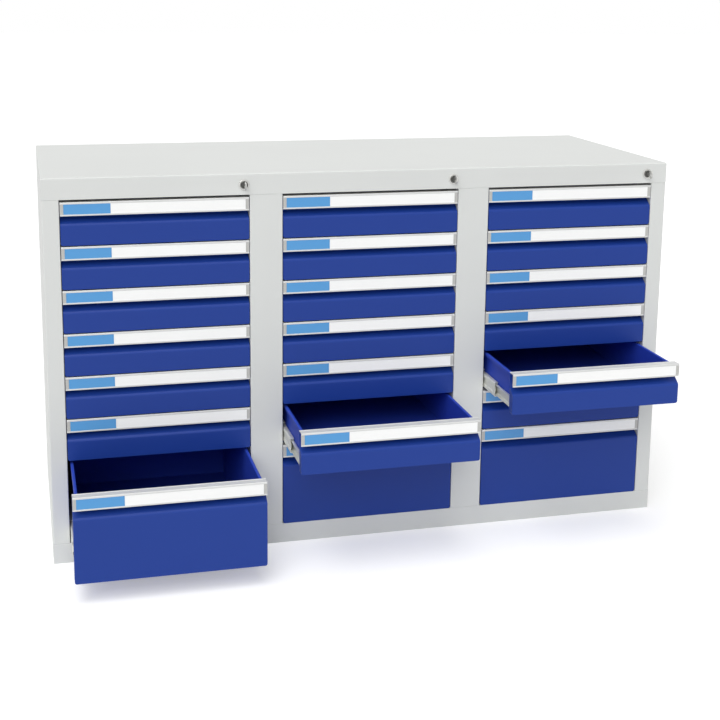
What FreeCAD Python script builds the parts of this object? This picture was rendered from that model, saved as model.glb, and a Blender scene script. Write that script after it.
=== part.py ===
"""Steel drawer cabinet with three columns of seven drawers, in millimetres.

X runs across the front, Y from the front to the back and Z up. The origin is the centre of the housing's
base. Drawers that stand open at rest are drawn where they stand, and so are their slides.
"""
import FreeCAD, Part
import math
import os
from FreeCAD import Rotation, Vector

# ---- housing ----
COLUMNS = ("left", "middle", "right")
bay_width = 500.0          # one column of drawers with the half stile on each side of it
stile_width = 38.0
depth = 600.0
base_rail = 48.0
top_rail = 49.0
row_pitch = 100.0          # one small drawer with its gap
small_rows = 6
large_rows = 2             # the pitches that the bottom drawer takes up
sheet = 1.2                # side panels, partitions, inner walls and back panel
skin = 1.5                 # top panel and base
edge_bend = 6.0            # outer radius of the top panel's front edge
corner_bend = 3.0          # outer radius of the housing's upright corners
stile_return = 20.0
rear_setback = 3.2         # the rear folds stand this far in, so that the back panel lies flush
rear_flange = 24.0
wall_setback = 21.0        # the inner walls start this far behind the front
wall_flange_rear = 9.0
brace_setback = 50.0       # above the drawers, the walls start this far behind the front

# ---- drawers ----
front_gap_side = 1.5
front_gap_row = 2.5
head_play = 3.0            # how much wider the gap under the top rail is than the gaps between drawers
front_sheet = 1.0
tray_sheet = 1.0
strip_height = 31.0        # the handle profile's face
strip_depth = 23.6
strip_wall = 1.6
strip_leg = 12.0
label_recess = 1.2
label_lip_top = 4.5
label_lip_bottom = 3.5
label_sheet = 0.8
label_share = 0.262        # the part of the strip's length that the short index label takes
cap_length = 8.0
grip_depth = 20.0          # how far back the front panel stands behind the handle
grip_top_run = 5.0         # upright run of the front panel below the strip
grip_slope = 14.0
grip_bend_back = 6.0
grip_bend_front = 8.0
seat_gap = 0.3             # between pieces of one drawer that are not welded together
tray_depth = 549.0
tray_lift = 6.0            # tray floor above the front panel's lower edge
tray_drop = 5.0            # tray rim below the top of the handle
hem_width = 6.0
hem_height = 8.0

# ---- slides ----
slide_width = 13.0         # room between tray and wall on each side
slide_centre = 24.0        # above the front panel's lower edge
slide_sheet = 1.2
outer_height = 45.0
middle_height = 35.0
inner_height = 25.0
outer_flange = 11.0
middle_start = 2.2         # from the wall to the middle member's web
middle_flange = 9.2
inner_flange = 8.6
cage_width = 6.0
cage_length = 176.0
outer_length = 540.0
middle_length = 480.0
inner_length = 500.0
slide_setback = 23.0       # the cabinet members start this far behind the front
middle_setback = 24.0
inner_setback = 22.0
bracket_height = 43.0      # plate at the front end of the drawer member
bracket_length = 16.0
bracket_drop = 17.0
stop_height = 20.0
hook_width = 8.0
hook_height = 12.0
hook_reach = 5.0
hook_inset_front = 37.0    # hook centres from the ends of a cabinet member
hook_inset_rear = 63.0
slot_pitch = 25.0
slot_gap = 0.5

# ---- locks ----
lock_inset = 13.0          # lock axis from the right edge of its opening
lock_height = 23.0         # lock axis above the opening
bezel_radius = 12.5
bezel_depth = 2.5
barrel_radius = 10.9
barrel_hole = 11.0
barrel_length = 24.0
nut_radius = 14.5
nut_depth = 3.5
plug_radius = 8.0
plug_clearance = 0.05
plug_proud = 0.6           # plug face in front of the bezel
keyway = (2.4, 7.0)
key_gap = 0.2
key_blade_length = 20.0
key_neck = 7.0
key_bow_radius = 10.0
key_bow_hole = 3.0
cam_radius = 13.5
cam_sheet = 2.5
pin_radius = 2.5
pin_throw = 10.0           # pin axis from lock axis
pin_start = 45.0           # degrees above level when unlocked; the lock turns it as far below
pin_slot_gap = 0.45
bar_width = 10.0
bar_sheet = 3.0
bar_gap = 0.8              # between the wall and the lock bar
bar_setback = 31.0         # front face of the lock bar behind the front
finger_height = 6.0
finger_reach = 7.0         # into the opening
catch_height = 10.0
catch_base = 50.0          # above the front panel's lower edge
catch_length = 8.0
catch_play = 2.0           # between a closed drawer's catch and the locked finger
finger_lift = 6.0          # free height over the catch when unlocked
finger_slot_gap = 2.0
guide_height = 12.0
guide_wall = 4.0
guide_gap = 0.3
guide_rows = (2, 6)
guide_base = 16.0

# ---- screws ----
screw_radius = 2.0
screw_hole = 2.1
screw_head_radius = 3.5
screw_head = 1.8
screw_length = 5.5
rail_screw_inset = 14.0    # from the rear end of a cabinet member
back_screw_edge = 12.0
back_screw_rows = 4
back_screw_columns = 3

# ---- drawers that stand open at rest ----
REST_OPEN = {("left", 7): 220.0, ("middle", 6): 205.0, ("right", 5): 195.0}

width = bay_width * len(COLUMNS)
opening_width = bay_width - 2 * stile_width
opening_height = (small_rows + large_rows) * row_pitch + head_play
opening_top = base_rail + opening_height
height = opening_top + top_rail
front = -depth / 2
back = depth / 2
fold_line = back - rear_setback
hook_places = (slide_setback + hook_inset_front, slide_setback + outer_length - hook_inset_rear)
ROWS = range(1, small_rows + 2)

YZ = Rotation(Vector(1, 1, 1), 120)     # a section drawn in Y and Z, drawn out along X
XZ = Rotation(Vector(1, 0, 0), 90)      # a section drawn in X and Z, drawn out along Y
XY = Rotation()


def column_centre(column):
    return (COLUMNS.index(column) - (len(COLUMNS) - 1) / 2) * bay_width


def row_base(row):
    """Height of the lower edge of a drawer's front, counted from the top row."""
    if row > small_rows:
        return base_rail
    return base_rail + (large_rows + small_rows - row) * row_pitch


def front_height(row):
    rows = large_rows if row > small_rows else 1
    return rows * row_pitch - front_gap_row


def box(x, y, z):
    """A block between pairs of coordinates."""
    low = Vector(min(x), min(y), min(z))
    return Part.makeBox(abs(x[1] - x[0]), abs(y[1] - y[0]), abs(z[1] - z[0]), low)


def cylinder(radius, start, end):
    axis = end - start
    return Part.makeCylinder(radius, axis.Length, start, axis)


def rounded_edges(points, radii):
    """Edges along a chain of points, with an arc at each middle point that has a radius."""
    edges = []
    here = points[0]
    for before, corner, after, radius in zip(points, points[1:], points[2:], radii):
        if radius > 0:
            arriving = (corner - before).normalize()
            leaving = (after - corner).normalize()
            turn = arriving.getAngle(leaving)
            first = corner - arriving * (radius * math.tan(turn / 2))
            last = corner + leaving * (radius * math.tan(turn / 2))
            inward = (leaving - arriving).normalize()
            middle = corner + inward * (radius / math.cos(turn / 2) - radius)
            edges.append(Part.LineSegment(here, first).toShape())
            edges.append(Part.Arc(first, middle, last).toShape())
            here = last
        else:
            edges.append(Part.LineSegment(here, corner).toShape())
            here = corner
    edges.append(Part.LineSegment(here, points[-1]).toShape())
    return edges


def draw_out(edges, plane, start, end):
    """A solid from the closed chain of edges, from start to end along the plane's own axis."""
    if plane is XZ:
        start, end = -end, -start
    face = Part.Face(Part.Wire(edges))
    face.translate(Vector(0, 0, start))
    solid = face.extrude(Vector(0, 0, end - start))
    solid.Placement = FreeCAD.Placement(Vector(), plane).multiply(solid.Placement)
    return solid


def block_section(corners, plane, start, end, radii=None):
    """A solid with the section given by its corners. The first corner is always sharp."""
    points = [Vector(a, b, 0) for a, b in corners]
    radii = radii or [0] * (len(points) - 1)
    return draw_out(rounded_edges(points + [points[0]], radii), plane, start, end)


def bent_sheet(corners, thickness, plane, start, end, bends=None):
    """A folded sheet: the corners run along one face, and the sheet lies to the left of them."""
    points = [Vector(a, b, 0) for a, b in corners]
    bends = bends or [0] * (len(points) - 2)
    normals = []
    for here, there in zip(points, points[1:]):
        along = (there - here).normalize()
        normals.append(Vector(-along.y, along.x, 0))
    offset = [points[0] + normals[0] * thickness]
    far_radii = []
    near_radii = []
    for corner, into, out, bend in zip(points[1:], normals, normals[1:], bends):
        miter = (into + out).normalize()
        offset.append(corner + miter * (thickness / miter.dot(into)))
        left_turn = into.cross(out).z > 0
        inner = max(bend - thickness, 0)
        near_radii.append(bend if left_turn else inner)
        far_radii.append(inner if left_turn else bend)
    offset.append(points[-1] + normals[-1] * thickness)
    edges = rounded_edges(points, near_radii)
    edges.append(Part.LineSegment(points[-1], offset[-1]).toShape())
    edges += rounded_edges(offset[::-1], far_radii[::-1])
    edges.append(Part.LineSegment(offset[0], points[0]).toShape())
    return draw_out(edges, plane, start, end)


def fuse(solids):
    return solids[0].multiFuse(solids[1:]).removeSplitter()


def cut(solid, tools):
    return solid.cut(Part.makeCompound(tools)) if tools else solid


def moved(solids, x=0, y=0, z=0):
    copies = [solid.copy() for solid in solids]
    for copy in copies:
        copy.translate(Vector(x, y, z))
    return copies


def mirrored(solids):
    return [solid.mirror(Vector(), Vector(1, 0, 0)) for solid in solids]


def export(node, solids):
    single = []
    for solid in solids:
        single += solid.Solids
    Part.makeCompound(single).exportStep("parts/" + node + ".step")


# ---- screws ----

def screw(seat, direction):
    """A pan-head screw with its head's underside at seat, driven in along direction."""
    head = cylinder(screw_head_radius, seat, seat - direction * screw_head)
    shank = cylinder(screw_radius, seat, seat + direction * screw_length)
    return fuse([head, shank])


def screw_bore(seat, direction):
    return cylinder(screw_hole, seat - direction * screw_length, seat + direction * screw_length)


def back_screw_seats():
    face = fold_line + sheet
    edge = width / 2 - back_screw_edge
    low = base_rail + back_screw_edge
    step = (opening_height - 2 * back_screw_edge) / (back_screw_rows - 1)
    seats = []
    for row in range(back_screw_rows):
        seats += [Vector(side * edge, face, low + row * step) for side in (-1, 1)]
    for column in range(back_screw_columns):
        x = (column - (back_screw_columns - 1) / 2) * bay_width
        seats.append(Vector(x, face, base_rail / 2))
        seats.append(Vector(x, face, height - back_screw_edge))
    return seats


def rail_screw_seat(side, base):
    """Where a cabinet member's rear screw sits, in its column's own frame. side is -1 or 1."""
    y = front + slide_setback + outer_length - rail_screw_inset
    return Vector(side * (opening_width / 2 - slide_sheet), y, base + slide_centre)


def rail_screw_seats():
    for column in COLUMNS:
        for row in ROWS:
            for side in (-1, 1):
                seat = rail_screw_seat(side, row_base(row)) + Vector(column_centre(column), 0, 0)
                yield seat, Vector(side, 0, 0)


def make_screws():
    into_back = Vector(0, -1, 0)
    solids = [screw(seat, into_back) for seat in back_screw_seats()]
    solids += [screw(seat, direction) for seat, direction in rail_screw_seats()]
    return solids


# ---- housing ----

def make_top_panel():
    half = width / 2
    inside = half - sheet
    under = height - skin
    panel = bent_sheet([(fold_line, height), (front, height), (front, opening_top)],
                       skin, YZ, -half, half, [edge_bend])
    lip = box((-inside, inside), (front, front + stile_return), (opening_top, opening_top + skin))
    fold = box((-half + rear_flange + sheet, half - rear_flange - sheet),
               (fold_line - skin, fold_line), (under - rear_flange, height))
    holes = [screw_bore(seat, Vector(0, -1, 0)) for seat in back_screw_seats()]
    for column in COLUMNS:
        axis = lock_axis(column)
        holes.append(cylinder(barrel_hole, axis + Vector(0, front - skin, 0),
                              axis + Vector(0, front + 2 * skin, 0)))
    return [cut(fuse([panel, lip, fold]), holes)]


def make_base_panel():
    inside = width / 2 - sheet
    outer = box((-inside, inside), (front, fold_line), (0, base_rail))
    hollow = box((-inside, inside), (front + skin, fold_line - skin), (skin, base_rail - skin))
    face = box((-width / 2, width / 2), (front, front + skin), (0, base_rail))
    holes = [screw_bore(seat, Vector(0, -1, 0)) for seat in back_screw_seats()]
    return [cut(fuse([outer.cut(hollow), face]), holes)]


def make_back_panel():
    inside = width / 2 - sheet - seat_gap
    panel = box((-inside, inside), (fold_line, fold_line + sheet), (skin, height))
    return [cut(panel, [screw_bore(seat, Vector(0, -1, 0)) for seat in back_screw_seats()])]


def make_side_panel():
    """The left side panel, which takes in the outer stile and ends under the top panel."""
    outside = -width / 2
    edge = outside + stile_width
    folded = bent_sheet(
        [(outside, back), (outside, front), (edge, front), (edge, front + stile_return)],
        sheet, XY, base_rail, opening_top, [corner_bend, 0])
    wall = (outside, outside + sheet)
    start = front + skin
    foot = box(wall, (start, back), (0, base_rail))
    under = height - skin
    head = block_section([(start, opening_top), (back, opening_top), (back, under), (start, under)],
                         YZ, *wall, [0, 0, edge_bend - skin])
    flange = box((outside, outside + rear_flange), (fold_line - sheet, fold_line),
                 (base_rail, under))
    holes = [screw_bore(seat, Vector(0, -1, 0)) for seat in back_screw_seats()]
    return [cut(fuse([folded, foot, head, flange]), holes)]


def wall_cuts(face, side):
    """Slots and screw holes in the wall whose face is at x = face; side -1 is a column's left wall."""
    through = (face - 2 * sheet, face + 2 * sheet)
    tools = []
    rows = int((opening_height - slide_centre) // slot_pitch)
    for row in range(rows):
        z = base_rail + slide_centre + row * slot_pitch
        for place in hook_places:
            y = front + place
            tools.append(box(through, (y - hook_width / 2 - slot_gap, y + hook_width / 2 + slot_gap),
                             (z - hook_height / 2 - slot_gap / 2, z + hook_height / 2 + slot_gap)))
    for row in ROWS:
        seat = rail_screw_seat(side, row_base(row))
        tools.append(screw_bore(Vector(face, seat.y, seat.z), Vector(side, 0, 0)))
        if side > 0:
            low = finger_base(row) - bar_travel() - finger_slot_gap
            high = finger_base(row) + finger_height + finger_slot_gap
            y = front + bar_setback
            tools.append(box(through, (y - finger_slot_gap, y + bar_sheet + finger_slot_gap), (low, high)))
    return tools


def make_partition(boundary):
    """The hollow wall between two columns, with its stile, around x = boundary."""
    left = boundary - stile_width
    right = boundary + stile_width
    folded = bent_sheet([(left, fold_line), (left, front), (right, front), (right, fold_line)],
                        sheet, XY, base_rail, opening_top)
    brace_y = (front + brace_setback, fold_line)
    brace_z = (opening_top, height - skin)
    braces = [box((left, left + sheet), brace_y, brace_z), box((right - sheet, right), brace_y, brace_z)]
    walls = fuse([folded] + braces)
    rear_fold = box((-width / 2, width / 2), (fold_line - skin, fold_line + sheet),
                    (height - skin - rear_flange, height))
    return [cut(walls, wall_cuts(left, 1) + wall_cuts(right, -1) + [rear_fold])]


def make_inner_wall():
    """The left inner wall. It closes the hollow side that the side panel's stile covers."""
    inside = -width / 2 + sheet
    face = -width / 2 + stile_width
    start = front + wall_setback
    end = back - wall_flange_rear
    folded = bent_sheet([(inside, end), (face, end), (face, start), (inside, start)],
                        -sheet, XY, base_rail, opening_top)
    brace = box((face - sheet, face), (front + brace_setback, end), (opening_top, height - skin))
    return fuse([folded, brace]), face


def make_inner_walls():
    wall, face = make_inner_wall()
    left = cut(wall, wall_cuts(face, -1))
    right = cut(mirrored([wall])[0], wall_cuts(-face, 1))
    return [left, right]


# ---- slides: sections are drawn for a drawer's left side, u from the wall and v from the centre ----

def channel(web, reach, half_height, y):
    """A slide member: an upright web at u = web, with flanges that reach to u = web + reach."""
    wall = -opening_width / 2
    thick = slide_sheet if reach > 0 else -slide_sheet
    inner = half_height - slide_sheet
    section = [(wall + web, -half_height), (wall + web + reach, -half_height),
               (wall + web + reach, -inner), (wall + web + thick, -inner), (wall + web + thick, inner),
               (wall + web + reach, inner), (wall + web + reach, half_height), (wall + web, half_height)]
    return block_section(section, XZ, y[0], y[1])


def cabinet_member():
    wall = -opening_width / 2
    start = front + slide_setback
    end = start + outer_length
    pieces = [channel(0, outer_flange, outer_height / 2, (start, end))]
    for place in hook_places:
        y = front + place
        pieces.append(box((wall - hook_reach, wall + slide_sheet), (y - hook_width / 2, y + hook_width / 2),
                          (-hook_height / 2, hook_height / 2)))
    stop = front + middle_setback + middle_length + seat_gap
    pieces.append(box((wall, wall + middle_start + slide_sheet), (stop, stop + slide_sheet),
                      (-stop_height / 2, stop_height / 2)))
    seat = rail_screw_seat(-1, -slide_centre)
    return cut(fuse(pieces), [screw_bore(seat, Vector(-1, 0, 0))])


def ball_cages():
    """The caged ball rows: the outer ones ride at the middle member's rear, the inner ones at its front."""
    wall = -opening_width / 2
    start = front + middle_setback
    rear = start + middle_length
    outer_race = (middle_height / 2 + seat_gap, outer_height / 2 - slide_sheet - seat_gap)
    inner_race = (inner_height / 2 + seat_gap, middle_height / 2 - slide_sheet - seat_gap)
    outer_x = (wall + middle_start + slide_sheet, wall + middle_start + slide_sheet + cage_width)
    inner_face = wall + slide_width - slide_sheet - seat_gap
    inner_x = (inner_face - cage_width, inner_face)
    outer_y = (rear - slide_sheet - cage_length, rear - slide_sheet)
    inner_y = (front + inner_setback + slide_sheet, front + inner_setback + slide_sheet + cage_length)
    cages = []
    for side in (-1, 1):
        cages.append(box(outer_x, outer_y, [side * v for v in outer_race]))
        cages.append(box(inner_x, inner_y, [side * v for v in inner_race]))
    return cages


def make_middle_members():
    """Both middle members of a drawer's slides, with their ball cages, at v = 0 and drawer closed."""
    start = front + middle_setback
    left = [channel(middle_start, middle_flange, middle_height / 2, (start, start + middle_length))]
    left += ball_cages()
    return left + mirrored(left)


def drawer_member():
    wall = -opening_width / 2
    start = front + inner_setback
    member = channel(slide_width, -inner_flange, inner_height / 2, (start, start + inner_length))
    plate = box((wall + slide_width - slide_sheet, wall + slide_width), (start, start + bracket_length),
                (-bracket_drop, bracket_height - bracket_drop))
    return fuse([member, plate])


def make_cabinet_rails():
    left = cabinet_member()
    pair = [left] + mirrored([left])
    solids = []
    for column in COLUMNS:
        for row in ROWS:
            solids += moved(pair, column_centre(column), 0, row_base(row) + slide_centre)
    return solids


# ---- drawers: drawn closed, around their own column's centre, from the front's lower edge up ----

def make_tray(tall):
    outer = opening_width / 2 - slide_width
    inner = outer - tray_sheet
    hem = outer + hem_width
    rim = tall - tray_drop
    floor = tray_lift + tray_sheet
    start = front + grip_depth + front_sheet
    end = start + tray_depth
    side = [(hem, rim - hem_height), (hem, rim), (inner, rim), (inner, floor)]
    path = side + [(-x, z) for x, z in side[::-1]]
    body = bent_sheet(path, tray_sheet, XZ, start, end)
    walls = [box((-outer, outer), y, (tray_lift, rim))
             for y in ((start, start + tray_sheet), (end - tray_sheet, end))]
    return fuse([body] + walls)


def make_front_panel(tall):
    """The folded front: it stands back behind the handle and slopes out to the full front below it."""
    half = opening_width / 2 - front_gap_side
    top = tall - strip_wall - seat_gap
    knee = tall - strip_height - grip_top_run
    chin = knee - grip_slope
    face = [(front + grip_depth, top), (front + grip_depth, knee), (front, chin), (front, 0),
            (front + grip_depth, 0)]
    bends = [grip_bend_back, grip_bend_front, front_sheet]
    panel = bent_sheet(face, front_sheet, YZ, -half, half, bends)
    cheek = [(front + grip_depth, 0), (front, 0), (front, chin), (front + grip_depth, knee)]
    radii = [front_sheet, grip_bend_front, 0]
    ends = [block_section(cheek, YZ, *sorted((side * half, side * (half - front_sheet))), radii)
            for side in (-1, 1)]
    return fuse([panel] + ends)


def make_handle(tall):
    half = opening_width / 2 - front_gap_side
    low = tall - strip_height
    lip_low = low + label_lip_bottom
    lip_high = tall - label_lip_top
    rear = front + strip_depth
    recess = front + label_recess
    wall = recess + strip_wall
    section = [(front, low), (front, lip_low), (recess, lip_low), (recess, lip_high), (front, lip_high),
               (front, tall), (rear, tall), (rear, tall - strip_wall), (wall, tall - strip_wall), (wall, low)]
    between_walls = opening_width / 2 - slide_width - tray_sheet - seat_gap
    leg_front = front + grip_depth + front_sheet + tray_sheet + seat_gap
    leg = box((-between_walls, between_walls), (leg_front, rear), (tall - strip_leg, tall))
    return fuse([block_section(section, YZ, -half, half), leg])


def make_labels(tall):
    """The short index label, the long label beside it and the two end caps of the strip."""
    half = opening_width / 2 - front_gap_side
    inside = half - cap_length
    split = -half + 2 * half * label_share
    z = (tall - strip_height + label_lip_bottom, tall - label_lip_top)
    y = (front + label_recess - label_sheet, front + label_recess)
    cap_y = (front, front + label_recess)
    return [box((-inside, split), y, z), box((split, inside), y, z),
            box((-half, -inside), cap_y, z), box((inside, half), cap_y, z)]


def make_catch():
    outer = opening_width / 2 - slide_width
    start = front + bar_setback + bar_sheet + catch_play
    reach = opening_width / 2 - finger_reach + hem_width / 2
    return box((outer, reach), (start, start + catch_length), (catch_base, catch_base + catch_height))


def make_drawer(tall):
    left_member = moved([drawer_member()], 0, 0, slide_centre)
    solids = [make_tray(tall), make_front_panel(tall), make_handle(tall)]
    return solids + make_labels(tall) + left_member + mirrored(left_member) + [make_catch()]


# ---- locks ----

def lock_axis(column):
    """A point on the lock's axis, at y = 0."""
    edge = column_centre(column) + opening_width / 2
    return Vector(edge - lock_inset, 0, opening_top + lock_height)


def bar_travel():
    return 2 * pin_throw * math.sin(math.radians(pin_start))


def finger_base(row):
    """Underside of a lock bar's finger when unlocked."""
    return row_base(row) + catch_base + catch_height + finger_lift


def make_lock_barrels():
    solids = []
    for column in COLUMNS:
        axis = lock_axis(column)
        face = axis + Vector(0, front, 0)
        end = face + Vector(0, barrel_length, 0)
        nose = face - Vector(0, bezel_depth, 0)
        body = fuse([cylinder(bezel_radius, nose, face), cylinder(barrel_radius, face, end)])
        body = body.cut(cylinder(plug_radius, nose - Vector(0, skin, 0), end + Vector(0, skin, 0)))
        behind = face + Vector(0, skin, 0)
        nut = cylinder(nut_radius, behind, behind + Vector(0, nut_depth, 0))
        nut = nut.cut(cylinder(barrel_hole, face, end))
        solids += [body, nut]
    return solids


def make_lock_plug(column):
    """The plug with its cam and pin, and the key in it, in the unlocked position."""
    axis = lock_axis(column)
    nose = axis + Vector(0, front - bezel_depth - plug_proud, 0)
    end = axis + Vector(0, front + barrel_length + seat_gap, 0)
    plug = cylinder(plug_radius - plug_clearance, nose, end)
    slot_x = (axis.x - keyway[0] / 2, axis.x + keyway[0] / 2)
    slot_z = (axis.z - keyway[1] / 2, axis.z + keyway[1] / 2)
    depth_y = (nose.y - skin, nose.y + key_blade_length + key_gap)
    plug = plug.cut(box(slot_x, depth_y, slot_z))
    cam = cylinder(cam_radius, end, end + Vector(0, cam_sheet, 0))
    angle = math.radians(pin_start)
    offset = Vector(pin_throw * math.cos(angle), 0, pin_throw * math.sin(angle))
    pin_end = front + bar_setback + bar_sheet + cam_sheet
    pin_foot = end + offset + Vector(0, cam_sheet, 0)
    pin = cylinder(pin_radius, pin_foot, Vector(pin_foot.x, pin_end, pin_foot.z))
    blade_x = (slot_x[0] + key_gap, slot_x[1] - key_gap)
    blade = box(blade_x, (nose.y - key_neck, nose.y + key_blade_length),
                (slot_z[0] + key_gap, slot_z[1] - key_gap))
    bow_centre = Vector(0, nose.y - key_neck - key_bow_radius + skin, axis.z)
    bow_ends = [Vector(x, bow_centre.y, bow_centre.z) for x in blade_x]
    key = fuse([blade, cylinder(key_bow_radius, *bow_ends)])
    key = key.cut(cylinder(key_bow_hole, *bow_ends))
    return [plug, fuse([cam, pin]), key]


def make_lock_bar(column):
    """The upright bar behind the wall, with a slotted head and a finger for every drawer welded to it."""
    edge = column_centre(column) + opening_width / 2
    x = (edge + sheet + bar_gap, edge + sheet + bar_gap + bar_width)
    y = (front + bar_setback, front + bar_setback + bar_sheet)
    axis = lock_axis(column)
    angle = math.radians(pin_start)
    slot_z = axis.z + pin_throw * math.sin(angle)
    half_slot = pin_radius + pin_slot_gap
    head_z = (slot_z - half_slot - bar_sheet, slot_z + half_slot + bar_sheet)
    slot_x = (axis.x + pin_throw * math.cos(angle) - half_slot, axis.x + pin_throw + half_slot)
    low = finger_base(small_rows + 1) - finger_height
    head = box((slot_x[0] - bar_sheet, x[1]), y, head_z)
    slot = box(slot_x, (y[0] - bar_sheet, y[1] + bar_sheet), (slot_z - half_slot, slot_z + half_slot))
    pieces = [box(x, y, (low, head_z[0])), head.cut(slot)]
    for row in ROWS:
        base = finger_base(row)
        pieces.append(box((edge - finger_reach, x[0]), y, (base, base + finger_height)))
    return pieces


def make_bar_guides():
    solids = []
    for column in COLUMNS:
        edge = column_centre(column) + opening_width / 2
        bar_x = edge + sheet + bar_gap
        bar_y = front + bar_setback
        for row in guide_rows:
            z = (row_base(row) + guide_base, row_base(row) + guide_base + guide_height)
            block = box((edge + sheet, bar_x + bar_width + guide_wall),
                        (bar_y - guide_wall, bar_y + bar_sheet + guide_wall), z)
            hole = box((bar_x - guide_gap, bar_x + bar_width + guide_gap),
                       (bar_y - guide_gap, bar_y + bar_sheet + guide_gap),
                       (z[0] - guide_gap, z[1] + guide_gap))
            solids.append(block.cut(hole))
    return solids


def main():
    os.makedirs("parts", exist_ok=True)
    top_panel = make_top_panel()
    side_panel = make_side_panel()
    export("top_panel", top_panel)
    export("base_panel", make_base_panel())
    export("back_panel", make_back_panel())
    export("side_panel_left", side_panel)
    export("side_panel_right", mirrored(side_panel))
    export("partition_left", make_partition(-bay_width / 2))
    export("partition_right", make_partition(bay_width / 2))
    export("inner_walls", make_inner_walls())
    export("cabinet_rails", make_cabinet_rails())
    export("lock_barrels", make_lock_barrels())
    export("lock_bar_guides", make_bar_guides())
    export("screws", make_screws())
    middle_members = make_middle_members()
    drawers = {row: make_drawer(front_height(row)) for row in (small_rows, small_rows + 1)}
    for column in COLUMNS:
        x = column_centre(column)
        export("lock_plug_" + column, make_lock_plug(column))
        export("lock_bar_" + column, make_lock_bar(column))
        for row in ROWS:
            out = REST_OPEN.get((column, row), 0)
            base = row_base(row)
            drawer = drawers[max(row, small_rows)]
            export("drawer_%s_%d" % (column, row), moved(drawer, x, -out, base))
            export("slide_%s_%d" % (column, row), moved(middle_members, x, -out / 2, base + slide_centre))


main()
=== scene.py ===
"""Looks of the steel drawer cabinet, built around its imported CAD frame. All lengths are in metres."""
import math

import bmesh
import bpy
from mathutils import Matrix, Vector


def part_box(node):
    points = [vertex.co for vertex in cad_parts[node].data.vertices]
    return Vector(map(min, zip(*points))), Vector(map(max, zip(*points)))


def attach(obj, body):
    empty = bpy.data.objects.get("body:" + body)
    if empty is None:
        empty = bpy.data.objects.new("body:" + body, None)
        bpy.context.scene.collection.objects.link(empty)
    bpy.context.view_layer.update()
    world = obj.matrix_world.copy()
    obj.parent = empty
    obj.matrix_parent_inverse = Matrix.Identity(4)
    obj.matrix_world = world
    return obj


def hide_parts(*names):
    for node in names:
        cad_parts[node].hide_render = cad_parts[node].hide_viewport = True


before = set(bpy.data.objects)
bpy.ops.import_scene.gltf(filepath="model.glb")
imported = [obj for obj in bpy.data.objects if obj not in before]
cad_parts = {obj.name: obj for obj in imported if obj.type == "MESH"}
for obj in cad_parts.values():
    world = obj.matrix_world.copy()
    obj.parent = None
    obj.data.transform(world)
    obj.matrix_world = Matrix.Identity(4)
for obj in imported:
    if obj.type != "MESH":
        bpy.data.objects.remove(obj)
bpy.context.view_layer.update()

MM = 0.001
COLUMNS = ("left", "middle", "right")
ROWS = range(1, 8)
LARGE_ROW = 7

# ---------------------------------------------------------------- sizes that the CAD part has too

WIDTH, HEIGHT = 1500 * MM, 900 * MM
FRONT, BACK = -300 * MM, 300 * MM
FOLD_LINE = 296.8 * MM                  # outer face of the rear flanges, which the back panel lies on
BAY = 500 * MM
STILE = 38 * MM
OPENING_LOW, OPENING_TOP = 48 * MM, 851 * MM
SKIN, SHEET = 1.5 * MM, 1.2 * MM        # thick sheet of top and base, thin sheet of the walls
GAP = 0.2 * MM                          # between housing panels that meet
HALF_OPENING = 212 * MM
HALF_FRONT = 210.5 * MM
SMALL_FRONT, LARGE_FRONT = 97.5 * MM, 197.5 * MM
TRAY_HALF = 199 * MM
STRIP = 31 * MM                         # height of the handle profile
LIP_LOW, LIP_HIGH = 3.5 * MM, 4.5 * MM  # its lips below and above the labels
CAP_WIDTH = 8 * MM
LABEL_SHARE = 0.262                     # of the front's width, up to the end of the short label
SLIDE_START = 22 * MM                   # slide members, from the drawer's front
SLIDE_CENTRE = 24 * MM                  # and their middle, from its lower edge
DRAWER_MEMBER, MIDDLE_MEMBER = 500 * MM, 480 * MM
LOCK_X, LOCK_Z = 199 * MM, 874 * MM     # from the column's centre, and from the floor

# ---------------------------------------------------------------- mesh code: a body is (vertices, faces)


def rotated(vector, angle):
    return Vector((vector.x * math.cos(angle) - vector.y * math.sin(angle),
                   vector.x * math.sin(angle) + vector.y * math.cos(angle)))


def corner_arc(before, corner, after, radius, steps):
    """Points of the arc that rounds a corner of a 2D chain."""
    arriving, leaving = (corner - before).normalized(), (after - corner).normalized()
    turn = arriving.angle(leaving)
    if radius <= 0 or turn < 1e-4:
        return [corner]
    tangent = radius * math.tan(turn / 2)
    centre = corner + (leaving - arriving).normalized() * (radius / math.cos(turn / 2))
    start = corner - arriving * tangent - centre
    sign = 1 if arriving.x * leaving.y - arriving.y * leaving.x > 0 else -1
    return [centre + rotated(start, sign * turn * step / steps) for step in range(steps + 1)]


def rounded_outline(corners, radii, steps=4):
    """A closed 2D outline with an arc at every corner that has a radius."""
    points = [Vector(c) for c in corners]
    count = len(points)
    if not hasattr(radii, "__len__"):
        radii = [radii] * count
    outline = []
    for i, radius in enumerate(radii):
        outline += corner_arc(points[i - 1], points[i], points[(i + 1) % count], radius, steps)
    return outline


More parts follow.
